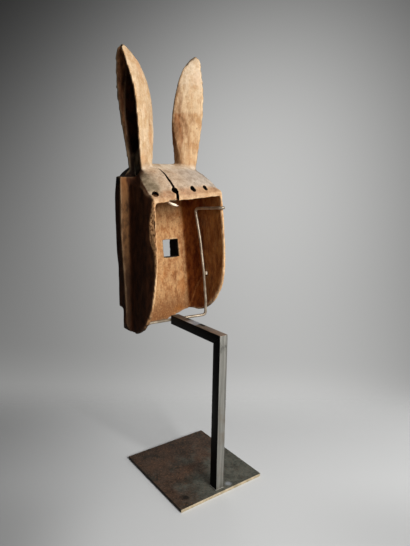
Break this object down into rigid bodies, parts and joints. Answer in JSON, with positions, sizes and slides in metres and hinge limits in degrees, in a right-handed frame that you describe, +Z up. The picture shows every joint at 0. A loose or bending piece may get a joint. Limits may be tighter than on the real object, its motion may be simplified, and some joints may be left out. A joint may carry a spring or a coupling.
{
  "type": "hare mask on stand",
  "caption": "Carved wooden hare mask with tall upright ears and an open hollow back, held on a square steel stand by a bent steel rod.",
  "frame": {"origin": "middle of the base plate's underside", "axes": "+Z up; the mask's face looks along -Y and its hollow back opens towards +Y, where the post stands; +X is the mask's own left"},
  "size_m": [0.213, 0.2841, 0.8502],
  "materials": {
    "carved_wood": "dry hand-carved wood, worn pale on the ears and the domed top, dark with age on the sides and in the hollow",
    "plate_steel": "raw hot-rolled steel plate with a mottled dark brown patina",
    "bar_steel": "raw square steel bar with a dark grey mill finish",
    "rod_steel": "bare bent steel rod, grey with a little brown"
  },
  "bodies": {
    "root": {"mask": "carved_wood", "base_plate": "plate_steel", "post": "bar_steel", "arm": "bar_steel", "cradle_rod": "rod_steel"}
  },
  "joints": []
}
